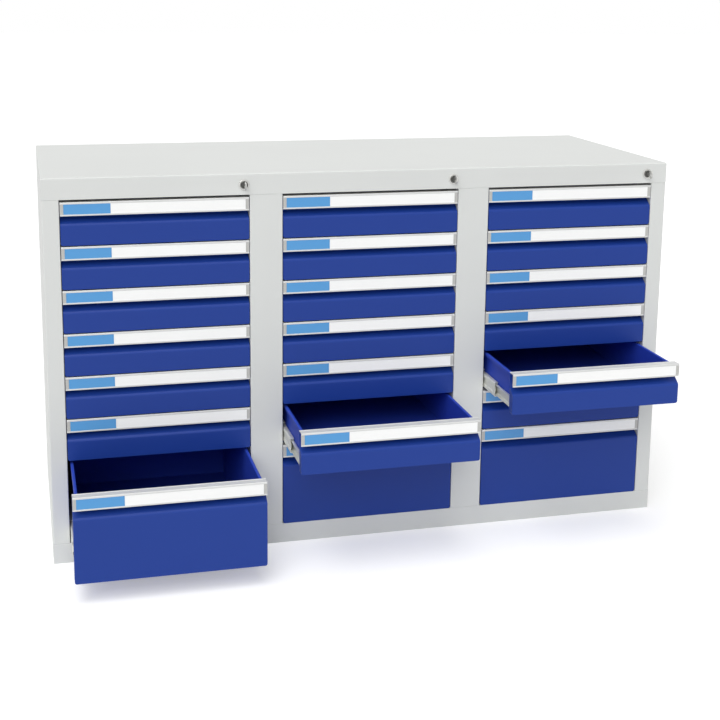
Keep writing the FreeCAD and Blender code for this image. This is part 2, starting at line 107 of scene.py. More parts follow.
def sheet_lines(path, bends, thickness, steps, stops):
    """Both faces of a folded sheet as two 2D chains of as many points. The sheet lies left of the path.
    stops are (axis, value) pairs: the straight runs get a point where they cross that value."""
    points = [Vector(p) for p in path]
    near, far = [], []

    def left(a, b):
        along = (b - a).normalized()
        return Vector((-along.y, along.x))

    def add(point, normal):
        near.append(point)
        far.append(point + normal * thickness)

    add(points[0], left(points[0], points[1]))
    for i in range(1, len(points)):
        start, normal = near[-1].copy(), left(points[i - 1], points[i])
        last = i == len(points) - 1
        corner = points[i]
        if last:
            arc = [corner]
        else:
            into, out = normal, left(points[i], points[i + 1])
            left_turn = into.x * out.y - into.y * out.x > 0
            bend = bends[i - 1]
            radius = bend if left_turn else max(bend - thickness, 0)
            arc = corner_arc(points[i - 1], corner, points[i + 1], radius, steps) if bend > 0 else [corner]
        run = arc[0] - start
        marks = []
        for axis, value in stops:
            if abs(run[axis]) > 1e-9:
                share = (value - start[axis]) / run[axis]
                if 1e-6 < share < 1 - 1e-6:
                    marks.append(share)
        for share in sorted(set(round(m, 9) for m in marks)):
            add(start + run * share, normal)
        if last:
            add(corner, normal)
        elif len(arc) == 1:
            miter = (into + out).normalized()
            near.append(corner)
            far.append(corner + miter * (thickness / miter.dot(into)))
        else:
            swing = into.angle(out) * (1 if left_turn else -1)
            for step, point in enumerate(arc):
                add(point, rotated(into, step / (len(arc) - 1) * swing))
    return near, far


PLANES = {
    "YZ": lambda a, b, w: (w, a, b),
    "XZ": lambda a, b, w: (a, w, b),
    "XY": lambda a, b, w: (a, b, w),
}


def sheet_geometry(path, bends, thickness, plane, span, holes=(), steps=4):
    """A folded sheet drawn out over span. holes are boxes (a0, a1, b0, b1, w0, w1) in the section's two
    coordinates and the third one."""
    stops = [(0, v) for h in holes for v in h[0:2]] + [(1, v) for h in holes for v in h[2:4]]
    near, far = sheet_lines(path, bends, thickness, steps, stops)
    edges = [v for h in holes for v in h[4:6] if span[0] <= v <= span[1]]
    levels = sorted({round(v, 7) for v in (*span, *edges)})
    put = PLANES[plane]
    columns, rows = len(near), len(levels)
    verts = [put(p.x, p.y, w) for chain in (near, far) for p in chain for w in levels]
    offset = columns * rows

    def solid(i, j):
        if not (0 <= i < columns - 1 and 0 <= j < rows - 1):
            return False
        middle = (near[i] + near[i + 1]) / 2
        w = (levels[j] + levels[j + 1]) / 2
        return not any(h[0] < middle.x < h[1] and h[2] < middle.y < h[3] and h[4] < w < h[5] for h in holes)

    faces = []
    for i in range(columns - 1):
        for j in range(rows - 1):
            if not solid(i, j):
                continue
            a, b = i * rows + j, (i + 1) * rows + j
            c, d = b + 1, a + 1
            faces.append((a, b, c, d))
            faces.append((d + offset, c + offset, b + offset, a + offset))
            sides = (((a, d), (i - 1, j)), ((c, b), (i + 1, j)), ((b, a), (i, j - 1)), ((d, c), (i, j + 1)))
            for (p, q), neighbour in sides:
                if not solid(*neighbour):
                    faces.append((p, q, q + offset, p + offset))
    used = sorted({v for f in faces for v in f})
    index = {v: k for k, v in enumerate(used)}
    return [verts[v] for v in used], [tuple(index[v] for v in f) for f in faces]


def inset(outline, amount):
    """The 2D outline moved inwards."""
    if not amount:
        return outline
    count = len(outline)
    area = sum(outline[i - 1].x * outline[i].y - outline[i].x * outline[i - 1].y for i in range(count))
    sign = 1 if area > 0 else -1
    ring = []
    for i in range(count):
        into = (outline[i] - outline[i - 1]).normalized()
        out = (outline[(i + 1) % count] - outline[i]).normalized()
        a, b = Vector((-into.y, into.x)) * sign, Vector((-out.y, out.x)) * sign
        miter = a + b
        miter = miter.normalized() if miter.length > 1e-6 else a
        ring.append(outline[i] + miter * (amount / max(miter.dot(a), 0.5)))
    return ring


def loft(rings):
    """Quads between rings of equal length, with a face over each end."""
    count = len(rings[0])
    verts = [v for ring in rings for v in ring]
    faces = []
    for r in range(len(rings) - 1):
        for i in range(count):
            j = (i + 1) % count
            faces.append((r * count + i, r * count + j, (r + 1) * count + j, (r + 1) * count + i))
    faces.append(tuple(range(count))[::-1])
    faces.append(tuple(range((len(rings) - 1) * count, len(rings) * count)))
    return verts, faces


def extrusion(outline, plane, stations):
    """A closed body with the 2D outline at each station. A station is (place, inset) or (place, function)."""
    put = PLANES[plane]
    rings = []
    for place, shape in stations:
        ring = shape(outline) if callable(shape) else inset(outline, shape)
        rings.append([put(p.x, p.y, place) for p in ring])
    return loft(rings)


def eased(low, high, edge):
    """Stations of an extrusion from low to high whose end edges are chamfered."""
    return [(low, edge), (low + edge, 0), (high - edge, 0), (high, edge)]


def turned(profile, steps=48, axis="Y"):
    """A lathe body: profile is a chain of (radius, along) from one end of the axis to the other."""
    rings = []
    for radius, along in profile:
        ring = []
        for k in range(steps):
            angle = 2 * math.pi * k / steps
            a, b = radius * math.cos(angle), radius * math.sin(angle)
            ring.append((a, along, b) if axis == "Y" else (along, a, b))
        rings.append(ring)
    return loft(rings)


def hoop(profile, count):
    """A closed profile turned about Y: a ring with a hole through it."""
    points, faces = turned(profile, count)
    last = len(points) - count
    joint = [(i, (i + 1) % count, last + (i + 1) % count, last + i) for i in range(count)]
    return points, faces[:-2] + joint


def block(low, high, bevel=0.0):
    """A block with rounded edges, made from rings."""
    x0, y0, z0 = low
    x1, y1, z1 = high
    outline = rounded_outline([(x0, y0), (x1, y0), (x1, y1), (x0, y1)], bevel, 3)
    if not bevel:
        return extrusion(outline, "XY", [(z0, 0), (z1, 0)])
    part = bevel * 0.3
    return extrusion(outline, "XY", [(z0, bevel), (z0 + part, part), (z0 + bevel, 0),
                                     (z1 - bevel, 0), (z1 - part, part), (z1, bevel)])


def joined(*bodies):
    verts, faces = [], []
    for v, f in bodies:
        offset = len(verts)
        verts += v
        faces += [tuple(i + offset for i in face) for face in f]
    return verts, faces


def shifted(body, x=0.0, y=0.0, z=0.0):
    return [(v[0] + x, v[1] + y, v[2] + z) for v in body[0]], body[1]


def mirrored(body):
    """The body on the other side of the YZ plane."""
    return [(-v[0], v[1], v[2]) for v in body[0]], [f[::-1] for f in body[1]]


def ball(radius, centre, rings=5, segments=8):
    cx, cy, cz = centre
    verts = [(cx, cy, cz - radius)]
    faces = []
    for r in range(1, rings):
        a = math.pi * r / rings
        for s in range(segments):
            b = 2 * math.pi * s / segments
            verts.append((cx + radius * math.sin(a) * math.cos(b), cy + radius * math.sin(a) * math.sin(b),
                          cz - radius * math.cos(a)))
    verts.append((cx, cy, cz + radius))
    top = len(verts) - 1
    for s in range(segments):
        t = (s + 1) % segments
        faces.append((0, 1 + t, 1 + s))
        for r in range(rings - 2):
            a = 1 + r * segments
            faces.append((a + s, a + t, a + segments + t, a + segments + s))
        last = 1 + (rings - 2) * segments
        faces.append((last + s, last + t, top))
    return verts, faces


def plate(outline, holes, low, high, plane):
    """A flat plate between two levels with holes through it. outline and holes are 2D rings."""
    put = PLANES[plane]
    bm = bmesh.new()
    bottom, top = [], []
    for ring in [outline] + holes:
        bottom.append([bm.verts.new(put(p[0], p[1], low)) for p in ring])
        top.append([bm.verts.new(put(p[0], p[1], high)) for p in ring])
    for level in (bottom, top):
        edges = [bm.edges.new((ring[i - 1], ring[i])) for ring in level for i in range(len(ring))]
        bmesh.ops.triangle_fill(bm, edges=edges, use_beauty=True, use_dissolve=False)
    for low_ring, high_ring in zip(bottom, top):
        for i in range(len(low_ring)):
            bm.faces.new((low_ring[i - 1], low_ring[i], high_ring[i], high_ring[i - 1]))
    bmesh.ops.recalc_face_normals(bm, faces=bm.faces)
    bm.verts.index_update()
    body = [tuple(v.co) for v in bm.verts], [tuple(v.index for v in f.verts) for f in bm.faces]
    bm.free()
    return body


def circle(radius, centre, steps=20):
    x, y = centre
    angles = [2 * math.pi * k / steps for k in range(steps)]
    return [(x + radius * math.cos(a), y + radius * math.sin(a)) for a in angles]


SOFTENED_FROM = 50      # degrees: sharper edges than this are rounded by soften


def make_mesh(name, body, materials, pick=None, soften=0.0, smooth=38):
    """A mesh from a body. pick(centre) chooses a face's material, soften rounds the sharp edges, and smooth
    is the angle up to which faces are shaded as one."""
    mesh = bpy.data.meshes.new(name)
    mesh.from_pydata([tuple(v) for v in body[0]], [], [tuple(f) for f in body[1]])
    bm = bmesh.new()
    bm.from_mesh(mesh)
    bmesh.ops.remove_doubles(bm, verts=bm.verts, dist=1e-6)
    bmesh.ops.recalc_face_normals(bm, faces=bm.faces)
    if soften:
        limit = math.radians(SOFTENED_FROM)
        sharp = [e for e in bm.edges if len(e.link_faces) == 2 and e.calc_face_angle(0) > limit]
        bmesh.ops.bevel(bm, geom=sharp, offset=soften, offset_type="OFFSET", segments=2, profile=0.5,
                        affect="EDGES", clamp_overlap=True)
    if pick:
        for face in bm.faces:
            face.material_index = pick(face.calc_center_median())
    bm.to_mesh(mesh)
    bm.free()
    for material in (materials if isinstance(materials, list) else [materials]):
        mesh.materials.append(material)
    mesh.shade_smooth()
    mesh.set_sharp_from_angle(angle=math.radians(smooth))
    mesh.validate()
    return mesh


def piece(name, mesh, body, nodes, at=(0, 0, 0)):
    """Puts a mesh in place, on its body, for the CAD nodes that it stands for."""
    obj = bpy.data.objects.new(name, mesh)
    bpy.context.scene.collection.objects.link(obj)
    obj.location = at
    weighted = obj.modifiers.new("flat_faces", "WEIGHTED_NORMAL")
    weighted.keep_sharp = True
    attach(obj, body)
    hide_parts(*nodes)


# ---------------------------------------------------------------- materials


class Nodes:
    """A short way to write a material's node tree. Noise and cells have their scale in features per metre."""

    def __init__(self, name):
        self.material = bpy.data.materials.new(name)
        self.material.use_nodes = True
        self.tree = self.material.node_tree
        self.shader = self.tree.nodes["Principled BSDF"]

    def new(self, kind, **inputs):
        node = self.tree.nodes.new(kind)
        for key, value in inputs.items():
            self.set(node, key.replace("_", " "), value)
        return node

    def set(self, node, socket, value):
        target = node.inputs[socket]
        if isinstance(value, bpy.types.NodeSocket):
            self.tree.links.new(value, target)
        else:
            target.default_value = value

    def coordinates(self, stretch):
        place = self.new("ShaderNodeTexCoord")
        mapping = self.new("ShaderNodeMapping")
        self.tree.links.new(place.outputs["Object"], mapping.inputs["Vector"])
        mapping.inputs["Scale"].default_value = stretch
        return mapping.outputs["Vector"]

    def noise(self, scale, stretch=(1, 1, 1), detail=2.0, roughness=0.5):
        node = self.new("ShaderNodeTexNoise", Scale=scale, Detail=detail, Roughness=roughness)
        self.tree.links.new(self.coordinates(stretch), node.inputs["Vector"])
        return node.outputs["Fac"]

    def cells(self, scale):
        node = self.new("ShaderNodeTexVoronoi", Scale=scale)
        self.tree.links.new(self.coordinates((1, 1, 1)), node.inputs["Vector"])
        return node.outputs["Distance"]

    def blend(self, factor, low, high, start=0.3, end=0.7):
        ramp = self.new("ShaderNodeValToRGB")
        self.tree.links.new(factor, ramp.inputs["Fac"])
        ramp.color_ramp.elements[0].position = start
        ramp.color_ramp.elements[1].position = end
        ramp.color_ramp.elements[0].color = (*low, 1)
        ramp.color_ramp.elements[1].color = (*high, 1)
        return ramp.outputs["Color"]

    def span(self, factor, low, high, start=0.3, end=0.7):
        node = self.new("ShaderNodeMapRange")
        self.tree.links.new(factor, node.inputs["Value"])
        for key, value in (("From Min", start), ("From Max", end), ("To Min", low), ("To Max", high)):
            node.inputs[key].default_value = value
        return node.outputs["Result"]

    def add(self, a, b, share):
        """share of b mixed into a."""
        node = self.new("ShaderNodeMix")
        node.data_type = "FLOAT"
        node.inputs[0].default_value = share
        self.tree.links.new(a, node.inputs[2])
        self.tree.links.new(b, node.inputs[3])
        return node.outputs[0]

    def bump(self, height, distance):
        node = self.new("ShaderNodeBump", Strength=1.0, Distance=distance)
        self.tree.links.new(height, node.inputs["Height"])
        self.tree.links.new(node.outputs["Normal"], self.shader.inputs["Normal"])

    def finish(self, **sockets):
        for key, value in sockets.items():
            self.set(self.shader, key.replace("_", " "), value)
        return self.material


def tint(colour, factor):
    return tuple(min(c * factor, 1.0) for c in colour)


def powder_coat(name, colour, roughness, specular=0.5):
    """Baked powder paint: a fine orange peel over a slow waviness, with the tone a little uneven."""
    n = Nodes(name)
    slow = n.noise(2.2, detail=3.0)
    peel = n.noise(620.0, detail=1.5)
    waves = n.noise(95.0, detail=1.0)
    base = n.blend(n.add(slow, peel, 0.35), tint(colour, 0.965), tint(colour, 1.035))
    n.bump(n.add(peel, waves, 0.45), 0.06 * MM)
    uneven = n.span(n.add(peel, slow, 0.5), roughness - 0.05, roughness + 0.06)
    return n.finish(Base_Color=base, Roughness=uneven, Specular_IOR_Level=specular)


def metal(name, colour, roughness, stretch, scale, contrast, metallic):
    """Bare or plated metal with fine drawn lines along one axis."""
    n = Nodes(name)
    lines = n.noise(scale, stretch=stretch, detail=4.0, roughness=0.6)
    patches = n.noise(14.0, detail=3.0)
    base = n.blend(n.add(lines, patches, 0.5), tint(colour, 1 - contrast), tint(colour, 1 + contrast))
    n.bump(lines, 0.02 * MM)
    uneven = n.span(lines, roughness - 0.07, roughness + 0.08)
    return n.finish(Base_Color=base, Metallic=metallic, Roughness=uneven)


def zinc_plate(name, colour, roughness):
    """Zinc plate: small soft crystals, rolling lines and a faint warm play in the lighter places."""
    n = Nodes(name)
    crystals = n.cells(420.0)
    lines = n.noise(260.0, stretch=(8, 0.6, 8), detail=3.0)
    cloud = n.noise(26.0, detail=3.0)
    warm = (colour[0] * 1.06, colour[1] * 1.05, colour[2] * 0.99)
    base = n.blend(n.add(cloud, lines, 0.4), tint(colour, 0.86), warm, 0.3, 0.72)
    n.bump(n.add(lines, crystals, 0.3), 0.02 * MM)
    uneven = n.span(n.add(crystals, cloud, 0.6), roughness - 0.08, roughness + 0.12, 0.25, 0.75)
    return n.finish(Base_Color=base, Metallic=0.6, Roughness=uneven)


def card(name, colour):
    """A printed card strip under a clear cover: faint fibres, and a gloss that wavers."""
    n = Nodes(name)
    fibres = n.noise(340.0, stretch=(0.25, 1, 1), detail=4.0, roughness=0.65)
    slow = n.noise(9.0, detail=2.0)
    base = n.blend(n.add(fibres, slow, 0.5), tint(colour, 0.975), tint(colour, 1.02))
    n.bump(n.noise(30.0, stretch=(0.3, 1, 1), detail=1.0), 0.08 * MM)
    return n.finish(Base_Color=base, Roughness=n.span(fibres, 0.42, 0.55), Coat_Weight=0.5, Coat_Roughness=0.12)


def moulded(name, colour, roughness):
    """Moulded plastic with a fine eroded grain."""
    n = Nodes(name)
    grain = n.cells(900.0)
    slow = n.noise(40.0, detail=2.0)
    base = n.blend(n.add(grain, slow, 0.6), tint(colour, 0.93), tint(colour, 1.06), 0.2, 0.8)
    n.bump(grain, 0.03 * MM)
    return n.finish(Base_Color=base, Roughness=n.span(grain, roughness - 0.05, roughness + 0.07, 0.1, 0.6))


GREY = powder_coat("grey_powder_coat", (0.678, 0.692, 0.676), 0.50)
BLUE = powder_coat("blue_powder_coat", (0.010, 0.043, 0.275), 0.42, specular=0.28)
# The trays' blue is the fronts' paint made lighter: painted light that brightens the shaded insides of the trays.
TRAY_BLUE_PAINTED_LIGHT = powder_coat("blue_tray_coat_painted_light", (0.024, 0.058, 0.42), 0.50, specular=0.12)
ALUMINIUM = metal("satin_aluminium", (0.67, 0.675, 0.665), 0.48, (0.05, 1, 1), 900.0, 0.05, 0.30)
ZINC = zinc_plate("zinc_plate", (0.78, 0.79, 0.76), 0.42)
NICKEL = metal("nickel_plate", (0.58, 0.58, 0.56), 0.30, (1, 6, 1), 500.0, 0.06, 0.85)
# Dark metal: the lock plugs' dark faces, and painted shade in the screws' cross recesses, which are flat dark
# crosses instead of hollows.
DARK_FACE_AND_RECESS_SHADE = metal("dark_lock_face_and_recess_shade", (0.085, 0.085, 0.08), 0.42, (1, 1, 1), 700.0, 0.15, 0.6)
WHITE_CARD = card("white_label_card", (0.935, 0.94, 0.93))
BLUE_CARD = card("blue_label_card", (0.066, 0.308, 0.655))
CAP = moulded("grey_cap_plastic", (0.50, 0.50, 0.48), 0.48)

# ---------------------------------------------------------------- drawers: x from the column's centre, y from
# the drawer's front and z from its lower edge. tall is the height of the front.


def front_body(tall):
    """The folded front as the eye meets it, with soft sides and rounded lower corners."""
    depth, recess = 20.7 * MM, 20 * MM
    knee, chin, top = tall - 36 * MM, tall - 50 * MM, tall - 1.9 * MM
    corner, steps = 5 * MM, 7
    section = [(recess, knee), (0, chin), (0, 0), (depth, 0), (depth, top), (recess, top)]
    outline = rounded_outline(section, [6 * MM, 8 * MM, 0, 0, 0, 0], 8)
    stations = []
    for step in range(steps + 1):
        angle = math.pi / 2 * step / steps
        x = -HALF_FRONT + corner * (1 - math.cos(angle))
        lift = corner * (1 - math.sin(angle))
        stations.append((x, lambda ring, lift=lift: [Vector((p.x, max(p.y, lift))) for p in ring]))
    stations += [(-x, shape) for x, shape in stations[::-1]]
    return extrusion(outline, "YZ", stations)


def tray_body(tall):
    """The folded tray: hemmed rims on both sides, soft bends at the floor, and welded end walls."""
    sheet = 1 * MM
    inner, hem = TRAY_HALF - sheet, TRAY_HALF + 6 * MM
    rim, floor = tall - 5 * MM, 7 * MM
    start, end = 21 * MM, 570 * MM
    rim_bend, floor_bend = 2 * MM, 3 * MM
    side = [(hem, rim - 8 * MM), (hem, rim), (inner, rim), (inner, floor)]
    path = side + [(-x, z) for x, z in side[::-1]]
    bends = [rim_bend, rim_bend, floor_bend, floor_bend, rim_bend, rim_bend]
    shell = sheet_geometry(path, bends, sheet, "XZ", (start, end))
    walls = [block((-inner, y, floor - 0.5 * MM), (inner, y + sheet, rim - 0.4 * MM), 0.3 * MM)
             for y in (start, end - sheet)]
    near, far, top = end - 7 * MM, end - 0.2 * MM, rim - 0.2 * MM
    rear_hem = [(near, rim - 7 * MM), (near, top), (far, top), (far, rim - 9 * MM)]
    reach = inner - 2 * MM
    hem_back = sheet_geometry(rear_hem, [1.2 * MM, 1.2 * MM], -0.8 * MM, "YZ", (-reach, reach), steps=3)
    return joined(shell, *walls, hem_back)


def handle_body(tall):
    """The extruded label holder: undercut lips, a groove along the top flange and a leg behind it."""
    low, high = tall - STRIP, tall
    lip_low, lip_high = low + LIP_LOW, high - LIP_HIGH
    rear, recess, wall = 23.6 * MM, 1.2 * MM, 2.8 * MM
    slope, groove, flange = 0.3 * MM, high - 0.7 * MM, high - 1.6 * MM
    section = [(0, low), (0, lip_low), (recess, lip_low + slope), (recess, lip_high - slope), (0, lip_high),
               (0, high), (4.6 * MM, high), (5.2 * MM, groove), (rear - 3.0 * MM, groove),
               (rear - 2.4 * MM, high), (rear, high), (rear, flange), (wall, flange), (wall, low)]
    radii = [r * MM for r in (0.8, 0.5, 0, 0, 0.5, 1.3, 0.3, 0.3, 0.3, 0.3, 0.6, 0.3, 0.8, 0.5)]
    profile = extrusion(rounded_outline(section, radii), "YZ", eased(-HALF_FRONT, HALF_FRONT, 0.35 * MM))
    leg_half = 197.7 * MM
    leg = block((-leg_half, rear - 1.3 * MM, high - 12 * MM), (leg_half, rear, high - 0.8 * MM), 0.3 * MM)
    return joined(profile, leg)


def label_body(x0, x1, tall):
    play = 0.15 * MM
    low, high = tall - STRIP + LIP_LOW + play, tall - LIP_HIGH - play
    return block((x0, 0.42 * MM, low), (x1, 1.19 * MM, high), 0.18 * MM)


def caps_body(tall):
    """Both end caps: a stepped clip that fills the end of the channel, with a finger rib."""
    low, high = tall - STRIP + 3.6 * MM, tall - 4.6 * MM
    inside, outside = HALF_FRONT - CAP_WIDTH, HALF_FRONT - 0.1 * MM
    pad = block((inside + 0.1 * MM, 0.30 * MM, low), (outside, 1.19 * MM, high), 0.3 * MM)
    rib = block((inside + 1 * MM, 0.06 * MM, low + 3 * MM), (inside + 2 * MM, 0.6 * MM, high - 3 * MM), 0.2 * MM)
    end = block((outside - 1.3 * MM, 0.02 * MM, low + 0.2 * MM), (outside, 0.6 * MM, high - 0.2 * MM), 0.2 * MM)
    right = joined(pad, rib, end)
    return joined(right, mirrored(right))


def member_path(reach, web, bead, half, foot, crest):
    """Section of a slide member, upwards: a channel whose web has a raised bead along its middle."""
    lower = [(reach, -half), (web, -half), (web, -foot), (bead, -crest)]
    return lower + [(x, -z) for x, z in lower[::-1]]


def member_bends(corner):
    step = 1.5 * MM
    return [corner, step, step, step, step, corner]


def members_body():
    """Both drawer members of the slides with their bracket plates and rivets."""
    web = HALF_OPENING - 13 * MM
    bead = web + 1.7 * MM
    path = member_path(web + 8.6 * MM, web, bead, 12.5 * MM, 6 * MM, 4.4 * MM)
    channel = sheet_geometry([(x, z + SLIDE_CENTRE) for x, z in path], member_bends(3.2 * MM), -SHEET, "XZ",
                             (SLIDE_START, SLIDE_START + DRAWER_MEMBER))
    low, high, wide = 7 * MM, 50 * MM, 16 * MM
    middle = SLIDE_START + wide / 2
    corners = [(SLIDE_START, low), (SLIDE_START + wide, low), (SLIDE_START + wide, high), (SLIDE_START, high)]
    holes = [circle(3.2 * MM, (middle, z)) for z in (14 * MM, 43.5 * MM)]
    bracket = plate(rounded_outline(corners, 2 * MM), holes, web, web + SHEET, "YZ")
    head = turned([(0.01 * MM, 1.1 * MM), (1.4 * MM, 1.0 * MM), (2.3 * MM, 0.5 * MM), (2.5 * MM, 0.0)], 16, "X")
    rivets = [shifted(head, web + SHEET, middle, 28 * MM)]
    rivets += [shifted(head, bead + 0.1 * MM, SLIDE_START + y * MM, SLIDE_CENTRE) for y in (150, 300, 450)]
    right = joined(channel, bracket, *rivets)
    return joined(right, mirrored(right))


def catch_body():
    """The catch on the tray's right side that a finger of the lock bar stops."""
    x0, x1 = TRAY_HALF, HALF_OPENING - 4 * MM
    y0, y1 = 36 * MM, 44 * MM
    outline = rounded_outline([(x0, y0), (x1, y0), (x1, y1), (x0, y1)], [0.2 * MM, 1.5 * MM, 1.5 * MM, 0.2 * MM])
    return extrusion(outline, "XY", eased(50 * MM, 60 * MM, 0.4 * MM))


def drawer_meshes(size, tall):
    """(part, mesh, slot) of every piece that depends on the drawer's height."""
    inside, gap = HALF_FRONT - CAP_WIDTH, 0.1 * MM
    split = -HALF_FRONT + 2 * HALF_FRONT * LABEL_SHARE
    index, long = label_body(-inside, split - gap, tall), label_body(split + gap, inside, tall)
    return [
        ("tray", make_mesh("tray_" + size, tray_body(tall), TRAY_BLUE_PAINTED_LIGHT, soften=0.25 * MM), "blue_paint"),
        ("front_panel", make_mesh("front_" + size, front_body(tall), BLUE, soften=1.1 * MM), "blue_paint"),
        ("handle", make_mesh("handle_" + size, handle_body(tall), ALUMINIUM), "aluminium_profile"),
        ("index_label", make_mesh("index_label_" + size, index, BLUE_CARD), "label_blue"),
        ("long_label", make_mesh("long_label_" + size, long, WHITE_CARD), "label_white"),
        ("end_caps", make_mesh("end_caps_" + size, caps_body(tall), CAP), "cap_grey"),
    ]


def build_drawers():
    small, large = drawer_meshes("small", SMALL_FRONT), drawer_meshes("large", LARGE_FRONT)
    shared = [
        ("slide_members", make_mesh("drawer_members", members_body(), ZINC, soften=0.15 * MM), "zinc_steel"),
        ("lock_catch", make_mesh("lock_catch", catch_body(), ZINC), "zinc_steel"),
    ]
    for column in COLUMNS:
        for row in ROWS:
            node = "drawer_%s_%d" % (column, row)
            low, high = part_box(node)
            at = ((low.x + high.x) / 2, low.y, low.z)
            for part, mesh, slot in (large if row == LARGE_ROW else small) + shared:
                piece(node + "_" + part, mesh, node, [node], at)


# ---------------------------------------------------------------- middle slide members: x from the column's
# centre, y from their front end and z from their middle


def middle_members_body():
    web = -HALF_OPENING + 2.2 * MM
    path = member_path(web + 9.2 * MM, web, web + 1.6 * MM, 17.5 * MM, 8 * MM, 6.4 * MM)[::-1]
    left = sheet_geometry(path, member_bends(3.4 * MM), SHEET, "XZ", (0, MIDDLE_MEMBER))
    return joined(left, mirrored(left))


def cages_body():
    """The ball rows: thin retainer strips with their balls standing out on both sides. The outer rows run
    in the cabinet members, and the inner rows in the drawer members."""
    length, play = 176 * MM, 1.2 * MM
    balls, first, pitch, radius = 14, 7, 12.4, 1.58 * MM
    outer = (3.4 * MM, 9.4 * MM, 17.8 * MM, 21.0 * MM, MIDDLE_MEMBER - play - length)
    inner = (5.5 * MM, 11.5 * MM, 12.8 * MM, 16.0 * MM, SLIDE_START - 24 * MM + play)
    rows = []
    for near, far, z0, z1, y0 in (outer, inner):
        x0, x1 = -HALF_OPENING + near, -HALF_OPENING + far
        for side in (-1, 1):
            z = side * (z0 + z1) / 2
            rows.append(block((x0 + 0.6 * MM, y0, z - 0.4 * MM),
                              (x1 - 0.6 * MM, y0 + length, z + 0.4 * MM), 0.15 * MM))
            rows += [ball(radius, ((x0 + x1) / 2, y0 + (first + k * pitch) * MM, z)) for k in range(balls)]
    left = joined(*rows)
    return joined(left, mirrored(left))


def build_slides():
    members = make_mesh("middle_members", middle_members_body(), ZINC, soften=0.15 * MM)
    cages = make_mesh("ball_cages", cages_body(), ZINC)
    for column in COLUMNS:
        for row in ROWS:
            node = "slide_%s_%d" % (column, row)
            low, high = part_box(node)
            at = ((low.x + high.x) / 2, high.y - MIDDLE_MEMBER, (low.z + high.z) / 2)
            piece(node + "_members", members, node, [node], at)
            piece(node + "_ball_cages", cages, node, [node], at)


# ---------------------------------------------------------------- housing


def row_base(row):
    """Height of the lower edge of a row's fronts. The large row takes two steps of 100 mm."""
    return OPENING_LOW if row == LARGE_ROW else OPENING_LOW + (8 - row) * 100 * MM


def wall_holes(face, side):
    """Slots in a wall, as boxes in the XY section and Z: hook slots, and on a column's right wall finger slots."""
    through = (face - 3 * SHEET, face + 3 * SHEET)
    levels, pitch, half = 31, 25, 4.5 * MM
    boxes = []
    for k in range(levels):
        z = OPENING_LOW + SLIDE_CENTRE + k * pitch * MM
        for place in (60 * MM, 500 * MM):
            y = FRONT + place
            boxes.append((*through, y - half, y + half, z - 6.25 * MM, z + 6.5 * MM))
    if side > 0:
        for row in ROWS:
            finger = row_base(row) + 66 * MM
            boxes.append((*through, FRONT + 29 * MM, FRONT + 36 * MM, finger - 16.14 * MM, finger + 8 * MM))
    return boxes


def partition_body(boundary):
    """A partition with its wide stile, around the boundary between two columns."""
    left, right = boundary - STILE, boundary + STILE
    path = [(left, FOLD_LINE), (left, FRONT), (right, FRONT), (right, FOLD_LINE)]
    shell = sheet_geometry(path, [1.5 * MM, 1.5 * MM], SHEET, "XY", (OPENING_LOW + GAP, OPENING_TOP - GAP),
                           wall_holes(left, 1) + wall_holes(right, -1), 6)
    braces = [block((x, FRONT + 50 * MM, OPENING_TOP - GAP),
                    (x + SHEET, FOLD_LINE - SKIN, HEIGHT - SKIN - 0.1 * MM), 0.2 * MM)
              for x in (left, right - SHEET)]
    return joined(shell, *braces)


def side_panel_body():
    """The left side panel with its outer stile."""
    outside = -WIDTH / 2
    edge = outside + STILE
    path = [(outside, BACK), (outside, FRONT), (edge, FRONT), (edge, FRONT + 20 * MM)]
    stile = sheet_geometry(path, [3 * MM, 1.5 * MM], SHEET, "XY", (OPENING_LOW + GAP, OPENING_TOP - GAP), (), 6)
    start, under, seam = FRONT + SKIN, HEIGHT - SKIN - 0.1 * MM, OPENING_TOP - GAP
    foot = block((outside, start, 0), (outside + SHEET, BACK, OPENING_LOW + GAP), 0.3 * MM)
    outline = rounded_outline([(start, seam), (BACK, seam), (BACK, under), (start, under)], [0, 0, 0, 1.7 * MM], 5)
    head = extrusion(outline, "YZ", eased(outside, outside + SHEET, 0.25 * MM))
    flange = block((outside, FOLD_LINE - SHEET, OPENING_LOW), (outside + 24 * MM, FOLD_LINE, under), 0.2 * MM)
    return joined(stile, foot, head, flange)


def top_panel_body():
    """The top panel with the top rail folded down at its front, the rail's lip and the rear fold."""
    half = WIDTH / 2
    path = [(FOLD_LINE, HEIGHT), (FRONT, HEIGHT), (FRONT, OPENING_TOP)]
    folded = sheet_geometry(path, [3.2 * MM], SKIN, "YZ", (-half, half), (), 10)
    seam = 0.02 * MM
    lip = block((-half + SHEET, FRONT + SKIN + seam, OPENING_TOP),
                (half - SHEET, FRONT + 20 * MM, OPENING_TOP + SKIN), 0.2 * MM)
    level, reach = HEIGHT - 0.05 * MM, half - 25.2 * MM
    rear_path = [(FOLD_LINE - 8 * MM, level), (FOLD_LINE, level), (FOLD_LINE, HEIGHT - SKIN - 24 * MM)]
    rear = sheet_geometry(rear_path, [2.5 * MM], -SKIN, "YZ", (-reach, reach), (), 5)
    return joined(folded, lip, rear)


def base_body():
    """The base with the bottom rail in front of it. The large fronts stand just above it."""
    half, ease = WIDTH / 2, 0.3 * MM
    start, under, level = FRONT + 0.8 * MM, 0.2 * MM, OPENING_LOW - 0.05 * MM
    section = [(start, under), (FOLD_LINE, under), (FOLD_LINE, level), (start, level)]
    outline = rounded_outline(section, [0, 1.5 * MM, 1.5 * MM, 0], 5)
    body = extrusion(outline, "YZ", eased(-half + SHEET, half - SHEET, ease))
    top = OPENING_LOW - 0.02 * MM
    rail = rounded_outline([(FRONT, 0.0), (FRONT + SKIN, 0.0), (FRONT + SKIN, top), (FRONT, top)],
                           [0.5 * MM, 0.2 * MM, 0.2 * MM, 1.1 * MM], 5)
    return joined(body, extrusion(rail, "YZ", eased(-half, half, ease)))


